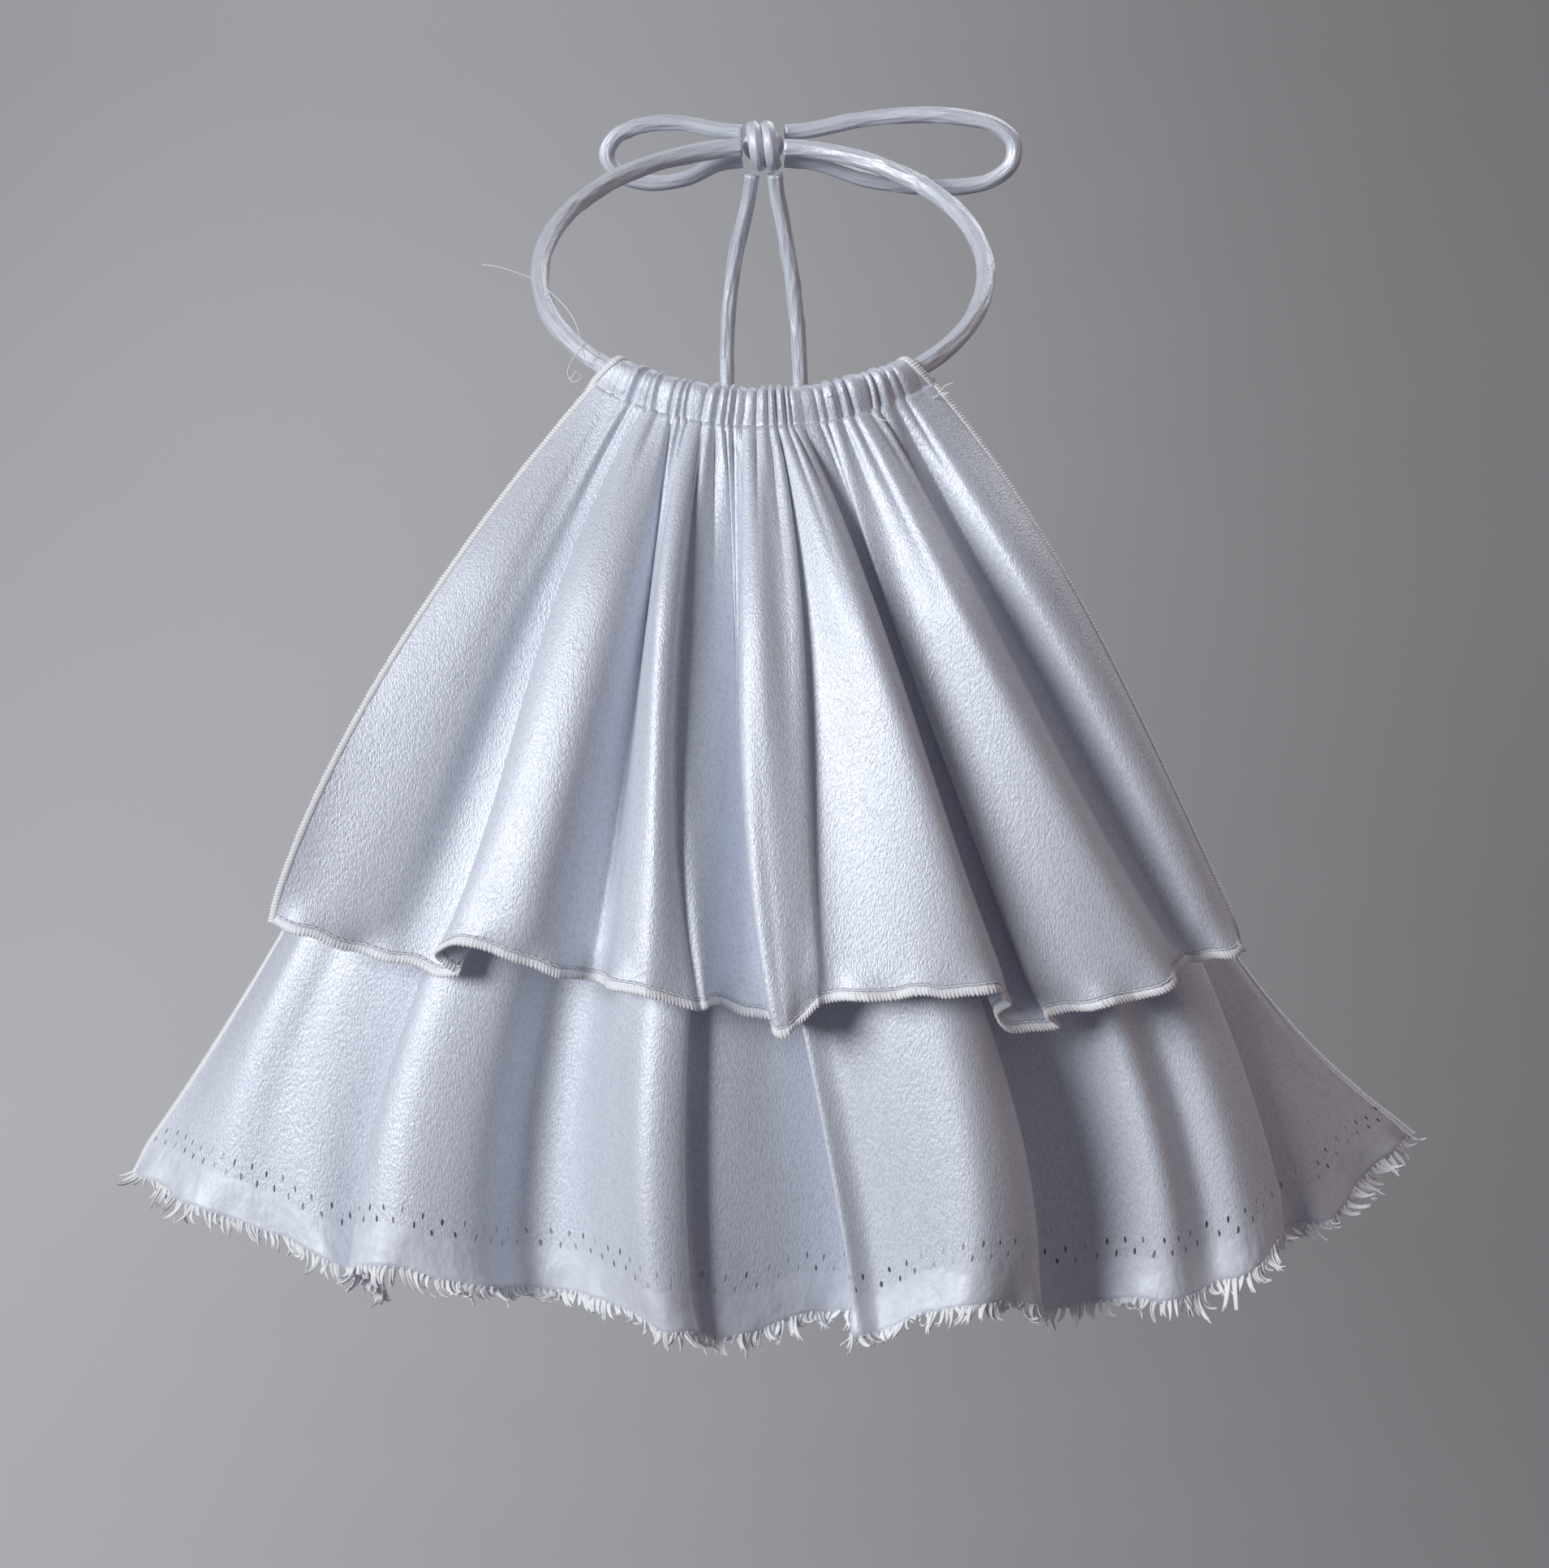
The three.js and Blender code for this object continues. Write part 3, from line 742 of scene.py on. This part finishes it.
def sun_light(name, azimuth, elevation, spread, strength, colour):
    """Soft light from far away. Azimuth 0 comes from the front, and 90 from the wearer's left."""
    data = bpy.data.lights.new(name, "SUN")
    data.angle = math.radians(spread)
    data.energy = strength
    data.color = colour
    light = bpy.data.objects.new(name, data)
    turn, rise = math.radians(azimuth), math.radians(elevation)
    towards = Vector((math.sin(turn) * math.cos(rise), -math.cos(turn) * math.cos(rise), math.sin(rise)))
    light.rotation_euler = towards.to_track_quat("Z", "Y").to_euler()
    bpy.context.scene.collection.objects.link(light)


DAYLIGHT = (0.95, 0.97, 1.0)
WARM_LIGHT = (1.0, 0.64, 0.44)
ROOM_LIGHT = (0.82, 0.81, 0.98)
ROOM_STRENGTH = 0.12


def make_lights():
    sun_light("window", -49, 20, 26, 2.65, DAYLIGHT)
    sun_light("warm_fill", 88, 8, 60, 0.22, WARM_LIGHT)
    sun_light("nape_light", 150, 35, 40, 1.2, DAYLIGHT)
    world = bpy.data.worlds.new("room")
    world.use_nodes = True
    sky = world.node_tree.nodes["Background"]
    sky.inputs["Color"].default_value = (*ROOM_LIGHT, 1)
    sky.inputs["Strength"].default_value = ROOM_STRENGTH
    bpy.context.scene.world = world
    bpy.context.scene.view_settings.view_transform = "Standard"


# The backdrop, in metres
FLOOR_LEVEL = -0.9
FLOOR_RADIUS = 1.7
WALL_BEND = 0.9
WALL_BEND_STEPS = 8
WALL_HEIGHT = 1.0
WALL_SIDES = 64


def backdrop_profile():
    """The floor from its middle, the bend and the wall, as corners in the plane of X and Z."""
    profile = [Vector((0, 0, FLOOR_LEVEL)), Vector((FLOOR_RADIUS, 0, FLOOR_LEVEL))]
    for step in range(1, WALL_BEND_STEPS + 1):
        turn = math.pi / 2 * step / WALL_BEND_STEPS
        out, up = WALL_BEND * math.sin(turn), WALL_BEND * (1 - math.cos(turn))
        profile.append(Vector((FLOOR_RADIUS + out, 0, FLOOR_LEVEL + up)))
    profile.append(profile[-1] + Vector((0, 0, WALL_HEIGHT)))
    return profile


def make_backdrop():
    """A wide pale floor that curves up into a low wall all round, well outside every view's camera."""
    shape = bmesh.new()
    corners = [shape.verts.new(p) for p in backdrop_profile()]
    edges = [shape.edges.new(pair) for pair in zip(corners, corners[1:])]
    bmesh.ops.spin(
        shape, geom=corners + edges, cent=(0, 0, 0), axis=(0, 0, 1), angle=2 * math.pi,
        steps=WALL_SIDES, use_merge=True,
    )
    bmesh.ops.remove_doubles(shape, verts=shape.verts, dist=1e-5)
    bmesh.ops.recalc_face_normals(shape, faces=shape.faces)
    lowest = min(shape.faces, key=lambda f: f.calc_center_median().z)
    if lowest.normal.z < 0:
        bmesh.ops.reverse_faces(shape, faces=shape.faces)
    mesh = bpy.data.meshes.new("backdrop")
    shape.to_mesh(mesh)
    shape.free()
    mesh.materials.append(backdrop_paper_painted_shade())
    mesh.shade_smooth()
    backdrop = bpy.data.objects.new("backdrop", mesh)
    backdrop.visible_shadow = False
    backdrop.visible_diffuse = False
    backdrop.visible_glossy = False
    bpy.context.scene.collection.objects.link(backdrop)


# The tie and its bow

TIE_STEP = 0.9
TIE_SIDES_ROUND = 32
TIE_CREASES = 5
TIE_FINE_CREASES = 8
TIE_CREASE_DEPTH = 0.06
TIE_SWELL = 0.05


def tie_radius(diameter, seed):
    """The tie's radius with soft lengthwise creases that wander round it."""
    crease_place, crease_depth, swell = Drift(seed), Drift(seed + 1), Drift(seed + 2)

    def radius(along, turn):
        wander = 0.9 * crease_place.at(along / 14)
        creases = np.cos(TIE_CREASES * (turn + wander)) * (0.6 + 0.4 * crease_depth.at(along / 6))
        creases = creases + 0.6 * np.cos(TIE_FINE_CREASES * (turn - 0.7 * wander) + 1.3)
        return diameter / 2 * (1 + TIE_CREASE_DEPTH * creases + TIE_SWELL * swell.at(along / 9))

    return radius


def make_cord(name, route, diameter, material, seed, node):
    line = smooth_route(route, TIE_STEP)
    mesh = swept_tube(name, line, tie_radius(diameter, seed), TIE_SIDES_ROUND)
    piece = finished(name, mesh, material)
    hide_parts(node)
    path = [tuple(float(c) for c in p) for p in line * MM]
    length = float(lengths_along(line)[-1]) * MM
    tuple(path[0])


KNOT_CENTRE = np.array((0, 62, 33.0))
KNOT_WRAP_RADIUS = 5.4
KNOT_WRAP_PITCH = 4.3
KNOT_WRAP_TURNS = 1.55
KNOT_WRAP_POINTS = 90
KNOT_WRAP_SEED = 77
KNOT_CORE = (0.0064, 0.0052, 0.0054)


def make_knot(material):
    """The knot: the tie wrapped once and a half round the crossing, over the loops' and ends' roots."""
    turn = np.linspace(-0.5, 0.5, KNOT_WRAP_POINTS) * 2 * math.pi * KNOT_WRAP_TURNS
    line = np.stack([
        KNOT_CENTRE[0] + turn / (2 * math.pi) * KNOT_WRAP_PITCH,
        KNOT_CENTRE[1] + KNOT_WRAP_RADIUS * np.cos(turn),
        KNOT_CENTRE[2] + KNOT_WRAP_RADIUS * np.sin(turn),
    ], axis=1)
    mesh = swept_tube("bow_knot", line, tie_radius(BOW_DIAMETER, KNOT_WRAP_SEED), TIE_SIDES_ROUND)
    shape = bmesh.new()
    shape.from_mesh(mesh)
    core = bmesh.ops.create_uvsphere(shape, u_segments=32, v_segments=20, radius=1)["verts"]
    bmesh.ops.scale(shape, vec=KNOT_CORE, verts=core)
    bmesh.ops.translate(shape, vec=Vector(KNOT_CENTRE * MM), verts=core)
    shape.to_mesh(mesh)
    shape.free()
    piece = finished("nape_knot", mesh, material)
    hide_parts("bow_knot")


def make_tie():
    satin = tie_satin()
    make_cord("tie_round_neck", RING_ROUTE, TIE_DIAMETER, satin, 21, "neck_tie")
    make_cord("loop_right", LOOP_RIGHT_ROUTE, BOW_DIAMETER, satin, 31, "bow_loop_right")
    make_cord("loop_left", LOOP_LEFT_ROUTE, BOW_DIAMETER, satin, 41, "bow_loop_left")
    make_cord("end_right", END_RIGHT_ROUTE, BOW_DIAMETER, satin, 51, "tie_end_right")
    make_cord("end_left", END_LEFT_ROUTE, BOW_DIAMETER, satin, 61, "tie_end_left")
    make_knot(satin)


# The cloth pieces

def make_wall(name, places, flat, side, node, material):
    """A cloth whose thickness lies on the given side of the places: 0 on both, -1 behind them."""
    piece = finished(name, shaped_grid(name, places, flat), material)
    wall = piece.modifiers.new("cloth_thickness", "SOLIDIFY")
    wall.thickness = CLOTH_THICKNESS * MM
    wall.offset = side
    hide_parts(node)
    return piece


CASING_HALF_SPAN = 45.2
CASING_END_SLANT = 3.2
CASING_STEPS = 520
CASING_ROWS = 48
CASING_RIDGE = 0.95
CASING_LEAN = 0.9
CASING_SCALLOP_REACH = 0.15
# The casing's section from its front stitch line over the top to the back one. Each corner lies so far
# out from the tie's centre, and so far up from it.
CASING_SECTION = (
    (5.2, -6.2), (4.7, -4.3), (4.5, -2.2), (4.2, 0.2), (3.5, 2.5), (2.2, 4.1), (0, 4.6), (-2.3, 4.0),
    (-3.9, 2.2), (-4.2, -0.6), (-3.5, -3.8), (-2.0, -6.6),
)


class Casing:
    """The gathered channel round the tie, as a grid of points from its front stitch line to its back one.
    Its ends slant on from the tier's sides."""

    def __init__(self):
        share = np.linspace(0, 1, CASING_ROWS + 1)
        half_spans = CASING_HALF_SPAN - CASING_END_SLANT * ease(share, 0, 0.5)
        x = np.linspace(-1, 1, CASING_STEPS + 1)[:, None] * half_spans
        sin = x / RING_HALF_WIDTH
        cos = np.sqrt(1 - sin * sin)
        self.centre = np.stack([RING_HALF_WIDTH * sin, -RING_HALF_DEPTH * cos, -RING_DROP * cos], axis=2)
        self.along = unit(np.stack([RING_HALF_WIDTH * cos, RING_HALF_DEPTH * sin, RING_DROP * sin], axis=2))
        out = unit(np.stack([self.along[..., 1], -self.along[..., 0], 0 * sin], axis=2))
        up = np.cross(out, self.along)
        knots = np.array(CASING_SECTION, dtype=float).T
        section = across_rows(knots, share * (len(CASING_SECTION) - 1))
        away = unit(np.stack([np.gradient(section[1]), -np.gradient(section[0])], axis=1))
        foot = x + out[..., 0] * CASING_SECTION[0][0]
        ridge, scallop = self.gathers(foot, share)
        outs = section[0] + ridge * away[:, 0]
        ups = section[1] + ridge * away[:, 1] - scallop
        self.places = self.centre + out * outs[..., None] + up * ups[..., None]
        self.outward = out * away[:, :1] + up * away[:, 1:]

    def gathers(self, foot, share):
        """The ridges round the section, which lean and swell over its top, and the scalloped front edge."""
        top = np.sin(math.pi * share)
        lean = CASING_LEAN * top * Drift(5).at(foot / 5)
        ridge = CASING_RIDGE * gather_wave(foot + lean) * (1 + top * (0.3 + 0.7 * Drift(6).at(foot / 4)))
        scallop = 0.7 + 0.6 * gather_wave(foot) + 0.8 * Drift(7).at(foot / 5)
        return ridge, scallop * (1 - ease(share, 0, CASING_SCALLOP_REACH))

    def flat(self):
        round_it = np.broadcast_to(lengths_along(self.places[0]), self.places.shape[:2])
        along = np.broadcast_to(lengths_along(self.centre[:, 0])[:, None], round_it.shape)
        return np.stack([round_it, along], axis=2)

    def edge(self, side):
        """An end's edge from the front stitch line to the back of the tie, as a tier's."""
        step, inward = (0, 1) if side == "left" else (-1, -1)
        rows = slice(0, CASING_ROWS * 3 // 4)
        line = self.places[step, rows]
        return line, inward * self.along[step, rows], self.outward[step, rows]


BINDING_STEP = 0.18
BINDING_SIDES = 12
BINDING_OVERHANG = 0.5
SIDE_BAND = {"width": 2.3, "thickness": 1.2, "pitch": 0.95, "slant": 0.8, "rib_depth": 0.5}
HEM_BAND = {"width": 2.5, "thickness": 1.1, "pitch": 1.05, "slant": 0.6, "rib_depth": 0.42}


def make_binding(name, edge, material, seed, width, thickness, pitch, slant, rib_depth):
    """The overlock stitches wound round an edge, as a band ribbed on its outer side."""
    line, inward, outward = even_steps(BINDING_STEP, *edge)
    inward, outward = unit(inward), unit(outward)
    along = lengths_along(line)[:, None]
    turn = np.linspace(0, 2 * math.pi, BINDING_SIDES + 1)[None, :]
    wander = Drift(seed)
    phase = along / pitch + slant * np.cos(turn) / (2 * math.pi) + 0.3 * wander.at(along / 2.3)
    stitch = np.abs(np.cos(math.pi * phase)) ** 0.7
    outer = 0.6 - 0.4 * np.cos(turn)
    rib = 1 + rib_depth * outer * (1.4 * stitch - 1) + 0.08 * wander.at(along / 1.7)
    across = width / 2 - BINDING_OVERHANG + width / 2 * np.cos(turn) * rib
    lift = thickness / 2 * np.sin(turn) * rib
    across[:, -1], lift[:, -1] = across[:, 0], lift[:, 0]
    places = line[:, None] + inward[:, None] * across[..., None] + outward[:, None] * lift[..., None]
    flat = np.stack(np.broadcast_arrays(turn * thickness / 2, along), axis=2)
    piece = finished(name, closed_tube(name, places, flat), material)
    return piece


NEEDLE_THREAD_STEP = 0.3
NEEDLE_THREAD_THICKNESS = 0.34
NEEDLE_THREAD_RISE = 0.22
NEEDLE_THREAD_SINK = 0.04
NEEDLE_THREAD_SWAY = 0.12


def needle_thread(name, edge, material):
    """The needle's row of stitches beside an overlocked band."""
    line, inward, outward = even_steps(NEEDLE_THREAD_STEP, *edge)
    inward, outward = unit(inward), unit(outward)
    turn = math.pi * lengths_along(line)[:, None] / HEM_STITCH
    lift = CLOTH_THICKNESS / 2 + NEEDLE_THREAD_RISE * np.abs(np.sin(turn)) - NEEDLE_THREAD_SINK
    inset = HEM_CREASE_HEIGHT + NEEDLE_THREAD_SWAY * np.sin(turn * 2)
    row = line + inward * inset + outward * lift
    piece = threads(name, [row], [NEEDLE_THREAD_THICKNESS], material, taper=False)
    return piece


# The frayed edge. Pairs are the least and the most, or the middle and the spread, of random draws.

FRINGE_PITCH = 1.85
FRINGE_PITCH_SHARE = (0.7, 1.3)
FRINGE_LINE_STEP = 0.25
FRINGE_START = 0.4
FRINGE_END = 0.3
FRINGE_POINTS = 10
FRINGE_ROOT = 1.4
FRINGE_LENGTH = 5.6
FRINGE_SHARE = np.linspace(0, 1, FRINGE_POINTS)[:, None]
LENGTH_DRIFT, LEAN_DRIFT, CURL_DRIFT = Drift(71), Drift(72), Drift(73)
TUFT_LENGTH = (-1.1, 1.1)
TUFT_LEAN = (0, 0.15)
TUFT_HOOK = (0, 0.35)
TUFT_RISE = (0.35, 0.3)
TUFT_WIDTH = (1.3, 2.1)
TUFT_TWIST = (-0.8, 0.8)
TUFT_FIBRES = 5
FIBRE_THICKNESS = (0.48, 0.7)
FIBRES_CUT = (0, 0, 1, 2)


def tuft_middle(draws, place, root, inward, sideways, outward):
    """A tuft's middle line. It leans, hangs down out of the edge and curls over like a hook."""
    length = FRINGE_LENGTH + 1.5 * LENGTH_DRIFT.at(place / 6) + draws.uniform(*TUFT_LENGTH)
    lean = 0.45 * LEAN_DRIFT.at(place / 7) + draws.gauss(*TUFT_LEAN)
    hook = 0.5 + 0.9 * CURL_DRIFT.at(place / 9) + draws.gauss(*TUFT_HOOK)
    rise = draws.gauss(*TUFT_RISE)
    bend = lean + 2.2 * hook * FRINGE_SHARE**2
    step = length / (FRINGE_POINTS - 1)
    down = np.cumsum(np.cos(bend), axis=0) * step - FRINGE_ROOT
    aside = np.cumsum(np.sin(bend), axis=0) * step
    return root - inward * down + sideways * aside + outward * length * rise * FRINGE_SHARE**2


def tuft_strands(draws, middle, sideways, outward):
    """The tuft's yarn ends: side by side, splayed at the tip and twisted a little round each other."""
    width = draws.uniform(*TUFT_WIDTH)
    twist = draws.uniform(*TUFT_TWIST)
    for fibre in range(TUFT_FIBRES):
        spot = (fibre + 0.5) / TUFT_FIBRES - 0.5 + draws.uniform(-0.06, 0.06)
        splay = width * spot * (1 - 0.45 * FRINGE_SHARE + draws.uniform(0, 0.9) * FRINGE_SHARE**4)
        ply = twist * FRINGE_SHARE * 2 + draws.uniform(0, 0.5)
        strand = middle + sideways * splay * np.cos(ply) + outward * splay * np.sin(ply)
        keep = FRINGE_POINTS - draws.choice(FIBRES_CUT)
        yield strand[:keep], draws.uniform(*FIBRE_THICKNESS)


def make_fringe(tier, material):
    """The frayed cut edge: soft tufts of yarn ends side by side."""
    draws = random.Random(404)
    line, inward, outward = even_steps(FRINGE_LINE_STEP, *tier.edge("hem"))
    inward, outward = unit(inward), unit(outward)
    sideways = unit(np.gradient(line, axis=0))
    along = lengths_along(line)
    strands, thicknesses = [], []
    place = FRINGE_START
    while place < along[-1] - FRINGE_END:
        k = int(np.searchsorted(along, place))
        middle = tuft_middle(draws, place, line[k], inward[k], sideways[k], outward[k])
        for strand, thickness in tuft_strands(draws, middle, sideways[k], outward[k]):
            strands.append(strand)
            thicknesses.append(thickness)
        place += FRINGE_PITCH * draws.uniform(*FRINGE_PITCH_SHARE)
    piece = threads("frayed_fringe", strands, thicknesses, material)
    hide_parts("frayed_hem")
    return piece


# Loose thread ends, from where each one leaves the cloth
LOOSE_THREADS = (
    ((-80.6, -30, 4), (-76, -31, 3.4), (-70.1, -32, 1.7), (-65.4, -33, -0.1), (-61, -34, -3.4),
     (-56.2, -38, -7.6), (-53, -42, -12.3), (-51.6, -45.5, -17), (-50.4, -46, -21.5)),
    ((-49.8, -44, -16.5), (-51.7, -46, -18.7), (-54.4, -47, -22), (-55.4, -47, -25.6), (-53.9, -47.4, -27.8),
     (-51.6, -47.6, -26.6), (-52.8, -48, -24.6), (-54.6, -48, -27)),
    ((-47.4, -52, -26.4), (-45.4, -53.4, -28.2), (-43, -54, -29.4), (-40.6, -54, -29)),
    ((48.4, -48, -32.6), (50, -50, -31.2), (51.8, -51, -28.6), (54.2, -51, -27.6)),
    ((50.2, -49, -30.4), (51.4, -51, -30.8), (53, -52, -30.2)),
    ((31.1, -61.5, -35.4), (33.5, -63, -36.6), (36.8, -63, -37)),
    ((18.4, -59, -31.4), (18.6, -61.6, -29.6), (19.4, -62, -28.4)),
)
LOOSE_THREAD_THICKNESS = 0.32
LOOSE_THREAD_STEP = 0.6


def make_loose_threads(material):
    lines = [smooth_route(route, LOOSE_THREAD_STEP) for route in LOOSE_THREADS]
    piece = threads("loose_threads", lines, [LOOSE_THREAD_THICKNESS] * len(lines), material, taper=False)


# How far each tier stands off the drape, and the size of its gathers and of the waves near its hem
UPPER_TIER = {
    "table": UPPER_FOLDS, "seam_stand": 4.9, "stand": 13, "seed": 201,
    "gather_height": 0.95, "gather_reach": 28, "flutter": 2.3, "flutter_wave": 9,
}
LOWER_TIER = {
    "table": LOWER_FOLDS, "seam_stand": -0.6, "stand": 0, "seed": 301,
    "gather_height": 0.5, "gather_reach": 12, "flutter": 1.8, "flutter_wave": 9,
}
SIDE_SEEDS = {"left": 81, "right": 82}
HEM_SEED = 99


def make_cloth():
    overlock = thread_finish("overlock_thread", OVERLOCK_WHITE, 0.5, 1500)
    yarn = thread_finish("frayed_yarn", YARN_WHITE, 0.6, 2200)
    upper, lower, casing = Tier(**UPPER_TIER), Tier(**LOWER_TIER), Casing()
    upper_piece = make_wall("upper_cloth", upper.points, upper.flat(), 0, "upper_tier", hemmed_satin())
    lower_piece = make_wall("lower_cloth", lower.points, lower.flat(), 0, "lower_tier", selvedged_satin())
    upper_trim = [
        make_wall("casing_cloth", casing.places, casing.flat(), -1, "gathered_casing", crepe_satin()),
    ]
    lower_trim = []
    for side, seed in SIDE_SEEDS.items():
        for name, cloth, trim, extra in (
            ("upper_overlock_", upper, upper_trim, 0),
            ("lower_overlock_", lower, lower_trim, 5),
            ("casing_overlock_", casing, upper_trim, 9),
        ):
            trim.append(make_binding(name + side, cloth.edge(side), overlock, seed + extra, **SIDE_BAND))
    hem = upper.edge("hem")
    upper_trim.append(make_binding("upper_overlock_hem", hem, overlock, HEM_SEED, **HEM_BAND))
    upper_trim.append(needle_thread("hem_needle_thread", hem, overlock))
    lower_trim.append(make_fringe(lower, yarn))
    make_loose_threads(yarn)


make_camera()
make_tie()
make_cloth()
make_lights()
make_backdrop()
